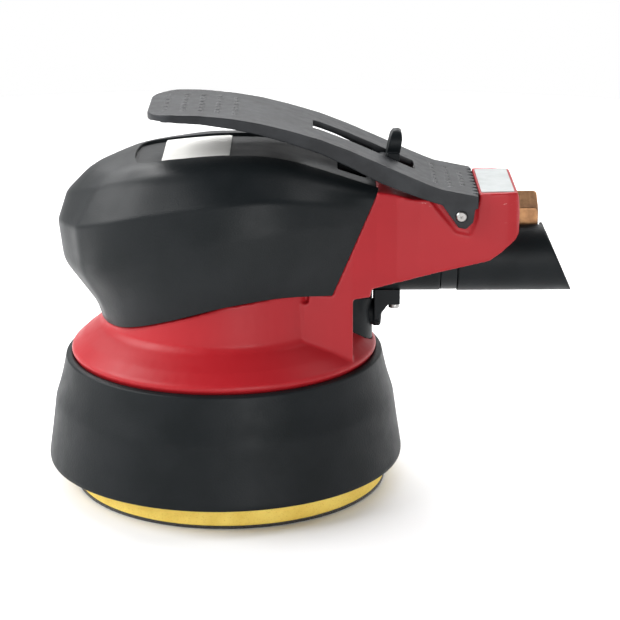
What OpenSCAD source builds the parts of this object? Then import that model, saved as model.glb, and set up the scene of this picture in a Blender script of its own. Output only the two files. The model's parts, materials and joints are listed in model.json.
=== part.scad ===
// Palm-grip random-orbital sander driven by compressed air, with a dust shroud,
// a dust and exhaust duct under the handle, and a lever throttle with a safety latch.
// Frame: +Z up, origin on the motor axis in the plane of the pad face,
// +X towards the handle and the air inlet.

/* [Sanding pad] */
// Diameter of the pad
pad_d = 125; // [120:1:126]
// Thickness of the hook face
hook_t = 1.2; // [0.8:0.1:1.6]
// Height of the top of the foam above the work
foam_top = 12; // [10:0.5:12]
// Diameter of the orbit that the pad centre runs on
orbit_d = 5; // [3:0.5:5]
// Direction of the pad centre at rest, about the motor axis
orbit_angle = -37; // [-180:1:180]

/* [Dust shroud] */
// Height of the shroud's lower rim above the work
shroud_z0 = 9.8; // [8:0.2:10]
// Wall thickness of the shroud
shroud_wall = 2.8; // [2:0.1:3]

/* [Grip] */
// Wall thickness of the rubber grip
grip_wall = 3.6; // [3:0.2:4.5]
// Depth of the recessed band along the crown
band_depth = 1.4; // [0.8:0.1:2]

/* [Throttle] */
// Half width of the lever
lever_half_w = 26; // [25:0.5:27]
// Thickness of the lever plate
lever_t = 2.6; // [2:0.1:3]
// Distance of the lever pin behind the motor axis
pin_x = 92.7; // [91:0.1:94]
// Height of the lever pin
pin_z = 112.8; // [112:0.1:113.5]
// Diameter of the lever pin
pin_d = 4; // [3:0.5:4]

/* [Air and dust ports] */
// Hexagon size of the inlet bushing, across its flats
inlet_af = 17.5; // [16:0.5:18]
// Bore of the inlet thread
inlet_bore_d = 11.4; // [10.8:0.1:11.6]
// Sideways offset of the inlet from the middle
inlet_y = 4.5; // [3.5:0.5:5]
// Outer diameter of the exhaust nozzle
nozzle_d = 26.8; // [26:0.2:27.4]
// Bore of the exhaust nozzle
nozzle_bore_d = 22.8; // [21:0.2:23.2]
// Sideways offset of the nozzle from the middle
nozzle_y = -4.5; // [-5:0.5:-3.5]

/* [Motor] */
// Outer diameter of the motor cylinder
motor_d = 54; // [53:1:56]
// Diameter of the rotor
rotor_d = 40.2; // [36:0.2:40.4]
// Diameter of the motor shaft
shaft_d = 12; // [10:0.5:12]
// Number of rotor vanes
vane_count = 5; // [4:1:6]

/* [Hidden] */
$fn = 96;

clear = 0.05;              // running clearance on a radius
pad_r = pad_d / 2;
pad_x = orbit_d / 2 * cos(orbit_angle);
pad_y = orbit_d / 2 * sin(orbit_angle);
shaft_r = shaft_d / 2;
motor_r = motor_d / 2;
rotor_r = rotor_d / 2;
pin_r = pin_d / 2;
barrel_wall = 3.5;
duct_z = 91.2;             // height of the duct and nozzle axis
duct_r = nozzle_d / 2;
duct_top = 92.8;           // flat top of the duct under the handle
ejector_z = 86;            // height of the exhaust air tube in the duct
inlet_z = 105.5;           // height of the inlet axis
inlet_x0 = 113;            // depth that the inlet bushing is bored to
hexagon_r = inlet_af / sqrt(3);
valve_x = 78;              // distance of the valve behind the motor axis
seat_port_z = 109.6;       // height of the cross hole in the valve seat
feed_x = 68.7;             // axis of the upright air passage beside the valve
feed_z = 98.2;             // height of the air passage to the motor
riser_x = 46;              // axis of the upright dust duct
riser_r = 13.4;
dial_z = 67.3;             // height of the speed regulator's axis

black_rubber = [0.13, 0.14, 0.15];
black_plastic = [0.17, 0.18, 0.19];
red_plastic = [0.74, 0.16, 0.19];
steel = [0.68, 0.69, 0.70];
dark_steel = [0.38, 0.39, 0.41];
aluminium = [0.80, 0.81, 0.82];
brass = [0.72, 0.52, 0.28];

// ---- shared shapes ----

module tube(r_out, r_in, z0, z1) {
  translate([0, 0, z0]) difference() {
    cylinder(r = r_out, h = z1 - z0);
    translate([0, 0, -1]) cylinder(r = r_in, h = z1 - z0 + 2);
  }
}

module disc(r, z0, z1) {
  translate([0, 0, z0]) cylinder(r = r, h = z1 - z0);
}

// A cylinder along +X from x0 to x1
module rod_x(r, x0, x1, y = 0, z = 0) {
  translate([x0, y, z]) rotate([0, 90, 0]) cylinder(r = r, h = x1 - x0);
}

// A round bar along X whose top is cut flat, as far as it fits under the handle
module flat_bar(r, x0, x1, flat_z) {
  intersection() {
    rod_x(r, x0, x1, nozzle_y, duct_z);
    translate([x0 - 1, nozzle_y - r - 1, 70]) cube([x1 - x0 + 2, 2 * r + 2, flat_z - 70]);
  }
}

// A cylinder along Y, centred
module rod_y(r, length, x = 0, z = 0) {
  translate([x, 0, z]) rotate([90, 0, 0]) cylinder(r = r, h = length, center = true);
}

module ring_x(r_ring, r_cord, x, y, z) {
  translate([x, y, z]) rotate([0, 90, 0]) rotate_extrude() translate([r_ring, 0]) circle(r_cord, $fn = 24);
}

// A side-view outline [x, z] given a width along Y
module side_prism(points, width, y = 0) {
  translate([0, y, 0]) rotate([90, 0, 0]) linear_extrude(width, center = true) polygon(points);
}

module at_pad() {
  translate([pad_x, pad_y, 0]) children();
}

// Interpolates y at x in a list of [x, y] pairs
function along(list, x, i = 0) =
  i >= len(list) - 2 || x <= list[i + 1][0]
    ? list[i][1] + (list[i + 1][1] - list[i][1]) * (x - list[i][0]) / (list[i + 1][0] - list[i][0])
    : along(list, x, i + 1);

// ---- grip shell ----
// Seven stations lead from the middle of the nose round one side to the rear edge.
// Each row of the shell gives [x, y, z] at the stations; the rear edge lies in a slanted plane.

grip_rear_low = [42.9, 83.9];
grip_rear_top = [62, 126];
function rear_x(z) = grip_rear_low[0]
  + (grip_rear_top[0] - grip_rear_low[0]) * (z - grip_rear_low[1]) / (grip_rear_top[1] - grip_rear_low[1]);
function rear_point(y, z) = [rear_x(z), y, z];

row_rim = [[-48.4, 0, 68.1], [-44.4, 20, 69.3], [-35.6, 33.8, 71.5], [-19.8, 44.2, 76.9], [2, 49, 83.6],
           [23.5, 43.2, 85.6], rear_point(34.9, 84.1)];
row_low = [[-50.3, 0, 73.6], [-47, 20.4, 77.6], [-36.8, 35, 84.6], [-21.5, 45.8, 90], [2, 50.7, 95.6],
           [25, 46.2, 97.2], rear_point(32.8, 97.2)];
row_mid = [[-62.9, 0, 90.5], [-54.2, 22.8, 90.9], [-44.5, 34.8, 96], [-24, 44.9, 103], [0, 50.7, 109.4],
           [26, 47, 112.6], rear_point(30.2, 110.8)];
row_rib = [[-64.7, 0, 106.5], [-55.6, 24, 108.6], [-41.5, 36.5, 114.1], [-24, 43.6, 118.6], [2, 48.2, 123.3],
           [26, 44.6, 123.7], rear_point(29, 116.4)];
row_brow = [[-60.9, 0, 117.8], [-46.8, 24, 123.8], [-33.4, 31.4, 128], [-19, 35.8, 131.2], [-1.6, 38, 132.9],
            [23, 36.4, 131.4], rear_point(28.3, 120.6)];
row_cap = [[-49.5, 0, 129.6], [-40.5, 16.5, 130.6], [-31, 24, 132.2], [-17.5, 27.6, 133.9], [0, 29.2, 135.3],
           [24, 28.6, 133.6], rear_point(26, 122.6)];
row_edge = [[-33, 0, 133.2], [-32.4, 11, 133.1], [-29.6, 18.8, 133.2], [-17, 20.4, 134.8], [4, 20.6, 136.2],
            [26, 20.8, 134.4], rear_point(22.4, 123.8)];
row_floor = [for (p = row_edge) let (v = p - [0, 0, band_depth]) [v[0], v[1] * 0.96, v[2]]];
grip_rows = [row_rim, row_low, row_mid, row_rib, row_brow, row_cap, row_edge, row_floor];
// How far the inner face of each row goes in and down, in wall thicknesses
grip_inset = [[0.28, 0], [0.8, 0], [1, 0], [1, 0.2], [0.7, 0.7], [0.2, 1], [0, 1.2], [0, 0.7]];
half_steps = 18;
columns = 2 * half_steps + 1;

// Catmull-Rom spline through the stations, t from 0 to 6
function spline(row, t) =
  let (i = min(floor(t), 5), u = t - i,
       a = i == 0 ? [row[1][0], -row[1][1], row[1][2]] : row[i - 1], b = row[i], c = row[i + 1],
       d = i == 5 ? 2 * row[6] - row[5] : row[i + 2])
  0.5 * (2 * b + u * (c - a) + u * u * (2 * a - 5 * b + 4 * c - d) + u * u * u * (3 * b - a - 3 * c + d));

function inward(p, inset) =
  let (dir = [-0.4 * p[0], -p[1]], n = norm(dir), h = n > 0 ? dir / n : [0, 0])
  [p[0] + h[0] * inset[0], p[1] + h[1] * inset[0], p[2] - inset[1]];

function shell_point(k, i, wall) =
  let (t = abs(i - half_steps) / 3, side = i < half_steps ? -1 : 1,
       p = inward(spline(grip_rows[k], t), grip_inset[k] * wall),
       x = t == 6 ? rear_x(p[2]) : p[0])
  [x, side * p[1], p[2]];

module grip_shell() {
  rows = len(grip_rows);
  layer = rows * columns;
  last = columns - 1;
  top = (rows - 1) * columns;
  pts = [for (wall = [0, grip_wall]) for (k = [0 : rows - 1]) for (i = [0 : last]) shell_point(k, i, wall)];
  quads = [for (k = [0 : rows - 2]) for (i = [0 : last - 1]) let (c = k * columns + i)
           [c, c + columns, c + columns + 1, c + 1]];
  crown = [for (i = [0 : half_steps - 2]) [top + i, top + last - i, top + last - i - 1, top + i + 1]];
  skin = [for (q = concat(quads, crown)) for (t = [[q[0], q[1], q[2]], [q[0], q[2], q[3]]]) t];
  nose = [[top + half_steps - 1, top + half_steps + 1, top + half_steps]];
  outer = concat(skin, nose);
  inner = [for (t = outer) [t[0] + layer, t[2] + layer, t[1] + layer]];
  rim = [for (i = [0 : last - 1]) [i, i + 1, i + 1 + layer, i + layer]];
  left = [for (k = [0 : rows - 2]) let (c = k * columns) [c, c + layer, c + columns + layer, c + columns]];
  right = [for (q = left) [q[3] + last, q[2] + last, q[1] + last, q[0] + last]];
  back = [[top, top + layer, top + last + layer, top + last]];
  edge = [for (q = concat(rim, left, right, back)) for (t = [[q[0], q[1], q[2]], [q[0], q[2], q[3]]]) t];
  polyhedron(pts, concat(outer, inner, edge));
}

// Side view of the line between the grip and the red housing
module grip_side_view(width) {
  side_prism([[-75, 150], [-75, 60], [-48, 67.6], [-44, 68.9], [-35, 71.2], [-19.5, 76.6], [2, 83.3],
              [24, 85.8], [36, 85.1], grip_rear_low, grip_rear_top, [76, 126], [76, 150]], width);
}

// ---- red housing ----

// Half widths of the neck and handle seen from above
plan = [[31.5, 36.6], [43, 34.2], [51, 32], [60, 27.6], [68, 24.6], [77, 23], [90, 22.5], [104, 22.2],
        [111, 21.5], [114.4, 20.4], [115.8, 18.5]];
module plan_outline(inset = 0) {
  rear = len(plan) - 1;
  polygon(concat([for (p = plan) [p[0] - (p == plan[rear] ? inset : 0), p[1] - inset]],
                 [for (i = [rear : -1 : 0]) [plan[i][0] - (i == rear ? inset : 0), inset - plan[i][1]]]));
}

handle_low = 81.5;         // lower edge of the handle in front of the duct
handle_side = [[34, handle_low], [58, handle_low], [58.3, 84.5], [71.2, 86.5], [84.7, 89.6], [104.3, 94],
               [108.5, 97], [114.2, 102], [115.6, 104.2], [115.8, 111.9], [115.4, 118.5], [114.6, 120.9],
               [99.9, 120.7], [99.5, 116.2], [92, 116.8], [84, 118.4], [74.2, 118.9], [66, 121.6],
               [60, 122.9], [34, 122.9]];

skirt_profile = [[59.7, 50.6], [59.7, 53], [60.7, 54], [61, 55], [60.5, 56.2], [56.2, 60.2], [51, 64.2],
                 [49.4, 65.4], [48, 67.4], [47.2, 84], [46.8, 88]];
skirt_inner = [[43.6, 88], [44, 67], [46.4, 62.6], [53.4, 57.4], [57.2, 53.6], [58.2, 50.6]];

// Walls that carry the handle down to the skirt, one on each side of the riser duct
module neck_walls() {
  difference() {
    for (s = [-1, 1]) scale([1, s, 1]) translate([0, 0, 56]) linear_extrude(handle_low - 56)
      polygon([[30, 33], [31.5, 36.6], [43, 34.2], [51, 32], [51, 29], [34, 29]]);
    rotate_extrude() polygon(concat([[0, 90]], [for (p = skirt_inner) p + [1.3, 0.4]], [[0, 50.8]]));
  }
}

module housing() {
  color(red_plastic) difference() {
    union() {
      difference() {
        rotate_extrude() polygon(concat(skirt_profile, skirt_inner));
        grip_side_view(200);
      }
      neck_walls();
      // handle: the plan and the side view cut from one block
      difference() {
        intersection() {
          side_prism(handle_side, 120);
          translate([0, 0, 60]) linear_extrude(80) plan_outline();
        }
        grip_side_view(200);
        // hollow front of the handle, open towards the grip
        intersection() {
          side_prism([[20, 86], [68, 86], [68, 114], [58, 118], [20, 118]], 120);
          translate([0, 0, 60]) linear_extrude(80) plan_outline(3.4);
        }
        // hollow underside that holds the duct
        intersection() {
          side_prism([[20, 70], [118, 70], [118, 96], [92, 96], [84, 95], [20, 95]], 120);
          translate([0, 0, 60]) linear_extrude(80) plan_outline(3.4);
        }
      }
      // motor barrel with its closed top, floor and ribs
      tube(motor_r + barrel_wall, motor_r, 46, 99);
      disc(motor_r + barrel_wall, 99, 102.5);
      tube(44.6, motor_r + barrel_wall - 0.5, 66, 69);
      for (a = [60, 120, 180, 240, 300]) rotate([0, 0, a])
        translate([motor_r + 2, -1.5, 68]) cube([13.5, 3, 9]);
      // spine that carries the handle off the barrel
      for (s = [-1, 1]) translate([motor_r - 1 + barrel_wall, s * 14 - 2, 98]) cube([43, 4, 15]);
      // boss of the valve, and the tube that carries its air to the motor
      translate([valve_x, 0, 93.2]) cylinder(r = 9, h = 10);
      rod_x(4.7, motor_r + 1, feed_x + 3, 0, feed_z);
      translate([feed_x, 0, feed_z]) cylinder(r = 3.6, h = 15);
    }
    // valve chamber, its stem hole and the recess that the lever's boss dips into
    translate([valve_x, 0, 92]) cylinder(r = 6, h = 22);
    translate([valve_x, 0, 110]) cylinder(r = 2 + clear, h = 12);
    translate([valve_x, 0, 116.8]) cylinder(r = 4.2, h = 6);
    // air comes in below the valve seat, and goes on to the motor from above it
    rod_x(6.5, 96, 120, inlet_y, inlet_z);
    rod_x(hexagon_r + 0.3, inlet_x0 + 2.1, 120, inlet_y, inlet_z);
    rod_x(4, valve_x, 97, 1.6, inlet_z - 1.8);
    rod_x(1.2, feed_x, valve_x, 0, seat_port_z);
    translate([feed_x, 0, feed_z]) cylinder(r = 1.7, h = seat_port_z + 1.3 - feed_z);
    rod_x(2.8, motor_r - 6, feed_x + 1, 0, feed_z);
    rod_y(pin_r, 60, pin_x, pin_z);
    // passages for the riser duct and the exhaust of the motor
    translate([riser_x, 0, 50]) cylinder(r = riser_r, h = 32);
    rod_x(4.6, motor_r - 4, riser_x, 0, 74);
    rotate([0, 0, 110]) rod_x(2, motor_r - 4, 47, 0, 50);
    // shallow pockets round the lever ears
    for (s = [-1, 1]) translate([0, s * 23.4, 0])
      side_prism([[79.5, 120], [90.9, 105.5], [96.7, 104.2], [99.4, 110.8], [99.8, 120]], 3.6);
    // passage for the duct under the handle
    flat_bar(duct_r, 38, 50, duct_top + 0.1);
    // seat of the rear plate
    side_prism([[100.6, 122], [100.6, 120.3], [113.6, 120.5], [113.6, 122]], 38.6);
  }
}

// ---- grip, plates and shroud ----

module comfort_grip() {
  color(black_rubber) difference() {
    grip_shell();
    // slot at the rear of the band
    translate([45.5, -7, 110]) cube([11.5, 14, 30]);
  }
}

module name_plate() {
  line = [for (i = [half_steps : -1 : 0]) let (p = shell_point(7, i, 0)) if (p[0] > -26 && p[0] < 5) [p[0], p[2]]];
  last = len(line) - 1;
  color([0.92, 0.91, 0.88])
    side_prism(concat([for (p = line) p + [0, 0.05]], [for (i = [last : -1 : 0]) line[i] + [0, 0.85]]), 37);
}

module rear_plate() {
  color([0.80, 0.82, 0.82])
    side_prism([[100.7, 120.32], [113.5, 120.52], [113.5, 121.2], [100.7, 121]], 38.4);
}

shroud_outer = [[61.2, 53.3], [63.2, 52.6], [63.5, 51.4], [64.3, 47.6], [65.2, 43.3], [66.5, 39], [67.9, 34.8],
                [68.5, 30.5], [69.1, 26], [69.6, 22], [70.2, 17.5], [70.9, 13], [71.2, 11.2], [70.9, 10.2],
                [70.2, shroud_z0]];
module dust_shroud() {
  inner = [for (i = [len(shroud_outer) - 1 : -1 : 3]) shroud_outer[i] - [shroud_wall, 0]];
  color(black_plastic) rotate_extrude() polygon(concat(
    [[59.8, 50.4], [59.8, 52.9]], shroud_outer, inner, [[60.4, 48.8], [57.6, 48.8], [57.6, 50.4]]));
}

module shroud_clamp() {
  color(steel) tube(60.3, 58.3, 45.6, 48.7);
}

// ---- air motor ----

cylinder_offset = 1.5;
module motor_cylinder() {
  color(aluminium) difference() {
    disc(motor_r, 61, 87);
    translate([cylinder_offset, 0, 60]) cylinder(r = rotor_r + 1.9, h = 28);
    // exhaust and inlet ports
    for (z = [70, 74, 78]) rod_x(1.6, 15, 30, 0, z);
    for (a = [-14, 14]) rotate([0, 0, a]) rod_x(1.6, 15, 30, 0, 74);
    for (z = [61, 83]) translate([0, 25.1, z - 0.5]) cylinder(r = 1, h = 5);
  }
}

module upper_endplate() {
  color(aluminium) difference() {
    disc(motor_r, 87, 97);
    disc(shaft_r + 1, 80, 100);
    disc(14, 89.5, 100);
    translate([0, 25.1, 80]) cylinder(r = 1, h = 10);
    rod_x(3.2, 20, 30, 0, 94);
  }
}

module lower_endplate() {
  color(aluminium) difference() {
    disc(motor_r, 51, 61);
    disc(shaft_r + 1, 50, 70);
    disc(14, 50, 58.5);
    translate([0, 25.1, 58]) cylinder(r = 1, h = 10);
  }
}

module upper_bearing() {
  color(steel) tube(14, shaft_r + clear, 89.5, 96.5);
}

module lower_bearing() {
  color(steel) tube(14, shaft_r + clear, 51.5, 58.5);
}

module dowel_pins() {
  color(dark_steel) {
    translate([0, 25.1, 58.2]) cylinder(r = 1, h = 6.6);
    translate([0, 25.1, 83]) cylinder(r = 1, h = 6.8);
  }
}

module lock_ring() {
  color(dark_steel) difference() {
    tube(motor_r, 18, 46.6, 50.9);
    for (a = [0 : 90 : 270]) rotate([0, 0, a + 45]) translate([22.5, 0, 45]) cylinder(r = 1.8, h = 8);
  }
}

module barrel_o_ring() {
  color(black_rubber) translate([0, 0, 98.05]) rotate_extrude() translate([22, 0]) circle(0.9, $fn = 24);
}

module slotted_rotor() {
  difference() {
    disc(rotor_r, 61.2, 86.8);
    disc(shaft_r, 60, 90);
    for (i = [0 : vane_count - 1]) rotate([0, 0, i * 360 / vane_count])
      translate([10.4, -1.05, 60]) cube([12, 2.1, 30]);
  }
}

module rotor() {
  color(dark_steel) slotted_rotor();
}

module rotor_vanes() {
  color([0.45, 0.32, 0.2]) intersection() {
    disc(rotor_r - 0.1, 61.4, 86.6);
    for (i = [0 : vane_count - 1]) rotate([0, 0, i * 360 / vane_count])
      translate([10.9, -0.95, 60]) cube([12, 1.9, 30]);
  }
}

// The shaft, the offset bearing cup and the weight that balances the pad
module shaft_balancer() {
  color(steel) difference() {
    union() {
      disc(shaft_r, 40, 98.4);
      at_pad() disc(15.5, 25, 43);
      disc(10, 42.5, 46);
      difference() {
        rotate([0, 0, orbit_angle + 180]) translate([0, 0, 29]) intersection() {
          cylinder(r = 36, h = 12);
          translate([2, -24, -1]) cube([40, 48, 14]);
        }
        at_pad() disc(13, 20, 45);
      }
    }
    at_pad() disc(12, 20, 38.5);
    tube(shaft_r + 3, shaft_r - 0.5, 97, 97.9);
  }
}

module spindle_bearings() {
  color(steel) at_pad() {
    tube(12, 6 + clear, 25.6, 31.2);
    tube(12, 6 + clear, 31.6, 37.2);
  }
}

module bearing_shield() {
  color(dark_steel) at_pad() tube(15.5, 10.3, 24.2, 25);
}

module shaft_circlip() {
  color(dark_steel) tube(shaft_r + 2, shaft_r - 0.5, 97, 97.9);
}

// ---- pad and its spindle ----

module spindle() {
  color(steel) at_pad() difference() {
    union() {
      intersection() {
        disc(10, 19.8, 24);
        translate([-8, -12, 19]) cube([16, 24, 6]);
      }
      disc(8, 23.9, 25.5);
      disc(6, 25, 38.4);
    }
    disc(4, 19, 34);
    tube(8, 5.6, 37.5, 38.1);
  }
}

module spindle_circlip() {
  color(dark_steel) at_pad() tube(7, 5.6, 37.5, 38.1);
}

module pad_washer() {
  color([0.75, 0.72, 0.6]) at_pad() tube(11, 4.2, 19, 19.8);
}

module pad_stud() {
  color(dark_steel) at_pad() union() {
    disc(4, 14.8, 32.5);
    disc(12, 13.2, 14.8);
  }
}

module pad_plate() {
  color(black_plastic) at_pad() difference() {
    union() {
      disc(58.5, foam_top, 14.8);
      disc(17, 14.6, 19);
      for (a = [0 : 30 : 330]) rotate([0, 0, a]) translate([15, -1, 14.5]) cube([40, 2, 2.2]);
    }
    disc(4, 10, 20);
    disc(12, 13.2, 14.8);
  }
}

module pad_foam() {
  color([0.93, 0.74, 0.30]) at_pad() translate([0, 0, hook_t])
    cylinder(r1 = pad_r, r2 = pad_r - 1.6, h = foam_top - hook_t);
}

module pad_hook_face() {
  color(black_rubber) at_pad() disc(pad_r, 0, hook_t);
}

// ---- lever, latch and valve ----

// Top line of the lever from its tip to its rear edge
lever_top = [[-27.5, 152.2], [-18, 152.9], [-7, 152.6], [5, 151.4], [16, 149.5], [27, 146.7], [38.7, 143.2],
             [50, 138.8], [61.5, 133.7], [72, 128.9], [80.6, 125.2], [85, 123.5], [99.2, 120.6]];
// Depth of the side flanges, from the tip to the rear
flange_depth = [[-27.5, 2.8], [-7, 3.4], [16, 4.6], [38.7, 5.6], [61.5, 7.6], [80.6, 6.5], [99.2, 5]];
slot_x0 = 36;
slot_x1 = 75.5;

function below_top(drop) = [for (i = [len(lever_top) - 1 : -1 : 0])
  [lever_top[i][0], lever_top[i][1] - drop]];

// Rows of low ribs that keep a finger from slipping: [place, number, length of one]
rib_rows = [[-20.5, 5, 5.2], [-13.5, 7, 3.6], [-7, 6, 4.4], [-0.5, 7, 3.6], [6, 6, 4.4],
            [83, 6, 4.6], [88.5, 7, 3.8], [94, 5, 3.4]];

// One row of ribs across the lever, which follows the slope of its top
module rib_row(x, count, length) {
  slope = atan2(along(lever_top, x + 1) - along(lever_top, x - 1), 2);
  translate([x, 0, along(lever_top, x)]) rotate([0, -slope, 0])
    for (i = [0 : count - 1]) translate([-0.75, (i - (count - 1) / 2) * (length + 1.5) - length / 2, -0.6])
      cube([1.5, length, 0.95]);
}

module lever_plan() {
  hull() {
    for (s = [-1, 1]) translate([lever_top[0][0] + 13, s * (lever_half_w - 13)]) circle(13);
    for (s = [-1, 1]) translate([94, s * (lever_half_w - 4)]) translate([0, -4]) square([5.2, 8]);
  }
}

module throttle_lever() {
  edge = [for (p = lever_top) [p[0], p[1] - along(flange_depth, p[0])]];
  color(black_plastic) difference() {
    union() {
      intersection() {
        side_prism(concat(lever_top, below_top(lever_t)), 60);
        translate([0, 0, 100]) linear_extrude(60) lever_plan();
      }
      intersection() {
        side_prism(concat(lever_top, [for (i = [len(edge) - 1 : -1 : 0]) edge[i]]), 60);
        translate([0, 0, 100]) linear_extrude(60) difference() {
          lever_plan();
          translate([-26, -lever_half_w + 2.4]) square([130, 2 * lever_half_w - 4.8]);
        }
      }
      // ears that the lever turns on
      for (s = [-1, 1]) translate([0, s * (lever_half_w - 1.2), 0])
        side_prism([[83.2, 121.5], [84.2, 118.9], [91.6, 108.4], [94.5, 107.7], [97.3, 110.4], [98.7, 120.2]], 2.4);
      // lugs for the latch pin
      for (s = [-1, 1]) translate([0, s * 8.4, 0])
        side_prism([[59.5, 133], [59.8, 127.6], [61.5, 126], [64.5, 126], [66.4, 128], [66.5, 131]], 2.4);
      // boss that presses the valve
      translate([valve_x, 0, 118.9]) cylinder(r = 3.4, h = 6);
      for (r = rib_rows) rib_row(r[0], r[1], r[2]);
    }
    translate([slot_x0, -7, 110]) cube([59 - slot_x0, 14, 60]);
    translate([58, -7, 110]) cube([slot_x1 - 58, 14, 60]);
    rod_y(pin_r + clear, 70, pin_x, pin_z);
    rod_y(1, 24, 63, 128.6);
  }
}

module lever_pin() {
  color(steel) rod_y(pin_r, 2 * lever_half_w + 1.4, pin_x, pin_z);
}

module latch_pin() {
  color(steel) rod_y(1, 20, 63, 128.6);
}

module safety_latch() {
  color(black_plastic) difference() {
    union() {
      // upright thumb post
      intersection() {
        side_prism([[64, 129.5], [66.2, 139.5], [67.2, 141.4], [69.2, 142], [70.6, 140.8], [70.8, 138.6],
                    [69.4, 129.5]], 11);
        translate([68, 0, 136.6]) rotate([0, 90, 0]) cylinder(r = 5.5, h = 20, center = true);
      }
      side_prism([[64.5, 128.4], [65, 133], [69.9, 133], [69.4, 127.4]], 11);
      rod_y(2.6, 13.6, 63, 128.6);
      // foot that stands over the handle
      side_prism([[61.2, 128], [61.4, 125.9], [65.4, 125.5], [66.2, 128.6]], 11);
    }
    rod_y(1 + clear, 20, 63, 128.6);
  }
}

module latch_spring() {
  color(steel) translate([63, 0, 128.6]) for (s = [-1, 1]) translate([0, s * 11.2, 0])
    rotate([90, 0, 0]) difference() {
      cylinder(r = 1.5, h = 2.6, center = true);
      cylinder(r = 1.1, h = 4, center = true);
    }
}

module valve_stem() {
  color(steel) translate([valve_x, 0, 0]) union() {
    disc(2, 106.4, 118.7);
    disc(4.4, 104.4, 106.5);
    disc(1.6, 100.5, 104.6);
  }
}

module valve_o_ring() {
  color(black_rubber) translate([valve_x, 0, 107.12]) rotate_extrude() translate([3.6, 0]) circle(0.6, $fn = 24);
}

module valve_seat() {
  color(brass) translate([valve_x, 0, 0]) difference() {
    disc(6, 107.8, 113.9);
    disc(2 + clear, 100, 120);
    disc(2.7, 107, 110.9);
    translate([0, 0, seat_port_z]) rotate([0, 90, 0]) cylinder(r = 1.2, h = 14, center = true);
  }
}

module valve_plug() {
  color(brass) translate([valve_x, 0, 0]) difference() {
    disc(6, 93.3, 97);
    disc(2.4, 95, 98);
  }
}

module valve_spring() {
  color(steel) translate([valve_x, 0, 0]) tube(3.6, 2.4, 97.1, 104.3);
}

// ---- inlet ----

module inlet_bushing() {
  color(brass) difference() {
    union() {
      intersection() {
        translate([inlet_x0 + 2.1, inlet_y, inlet_z]) rotate([0, 90, 0])
          cylinder(r = hexagon_r, h = 9.3, $fn = 6);
        translate([inlet_x0, inlet_y, inlet_z]) rotate([0, 90, 0]) cylinder(r1 = 17, r2 = 9.2, h = 11.6);
      }
      rod_x(6.5, 101, inlet_x0 + 3, inlet_y, inlet_z);
    }
    rod_x(inlet_bore_d / 2, inlet_x0 - 1, 130, inlet_y, inlet_z);
    rod_x(4.2, 100, inlet_x0 + 1, inlet_y, inlet_z);
  }
}

module inlet_screen() {
  color(steel) rod_x(4.15, inlet_x0 - 5, inlet_x0 - 3.4, inlet_y, inlet_z);
}

module inlet_o_ring() {
  color(black_rubber) ring_x(5.4, 0.9, 100, inlet_y, inlet_z);
}

// ---- ducts ----

module riser_duct() {
  color(black_plastic) difference() {
    translate([riser_x, 0, 50.5]) cylinder(r = riser_r - 0.05, h = 27);
    translate([riser_x, 0, 49]) cylinder(r = riser_r - 2, h = 26.4);
    translate([riser_x - 5, -6, 70]) cube([10, 12, 20]);
    rod_x(5.2, 20, riser_x, 0, 74);
    rod_x(5.5, riser_x, 70, 0, dial_z);
  }
}

module handle_duct() {
  color(black_plastic) difference() {
    union() {
      difference() {
        flat_bar(duct_r - 0.2, 40, 85.6, duct_top);
        translate([30, -40, 70]) cube([60, 80, 7.6]);
      }
      flat_bar(11.2, 80, 92.3, duct_top - 1.6);
    }
    flat_bar(duct_r - 2.4, 42, 83.6, duct_top - 2);
    flat_bar(9.2, 83, 100, duct_top - 3.2);
    translate([riser_x - 5, -6, 70]) cube([10, 12, 14]);
    for (y = screw_y) translate([screw_x, y, 76]) cylinder(r = 1.4, h = 4.3);
  }
}

module duct_sleeve() {
  color(black_rubber) difference() {
    flat_bar(duct_r - 0.5, 85.7, 92.3, duct_top);
    flat_bar(11.25, 80, 100, duct_top - 1.55);
  }
}

// Side view of the room that the nozzle leaves for the handle above it
nozzle_cut = [[80, 95.9], [107, 95.9], [108.6, 96.95], [114.3, 101.9], [115.75, 104.1], [115.95, 112], [80, 112]];

// The nozzle is cut away along the handle and dented by a saddle where the inlet passes
module nozzle_form(r, inset) {
  difference() {
    rod_x(r, 92.4 - inset, 140, nozzle_y, duct_z);
    rod_x(hexagon_r + 0.3 + inset, inlet_x0 - 3 - inset, 125 + inset, inlet_y, inlet_z);
    rod_x(inlet_bore_d / 2 + 0.7 + inset, 120, 141, inlet_y, inlet_z);
    side_prism([for (p = nozzle_cut) p + [inset, -inset]], 80);
  }
}

module exhaust_nozzle() {
  color(black_plastic) difference() {
    nozzle_form(duct_r, 0);
    nozzle_form(nozzle_bore_d / 2, 1.4);
    translate([126, -40, duct_z + duct_r]) rotate([0, -24, 0]) translate([0, 0, -60]) cube([60, 80, 100]);
  }
}

module ejector_tube() {
  color(brass) difference() {
    rod_x(2.8, 56, 86.5, nozzle_y, ejector_z);
    rod_x(1.9, 50, 90, nozzle_y, ejector_z);
  }
}

module exhaust_muffler() {
  color([0.55, 0.54, 0.5]) difference() {
    flat_bar(9.15, 84.5, 91.5, duct_top - 3.25);
    rod_x(2.85, 80, 96, nozzle_y, ejector_z);
  }
}

screw_x = 67.7;
screw_y = [nozzle_y - 4.5, nozzle_y + 4.5];
bracket_z0 = 73.4;

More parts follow.
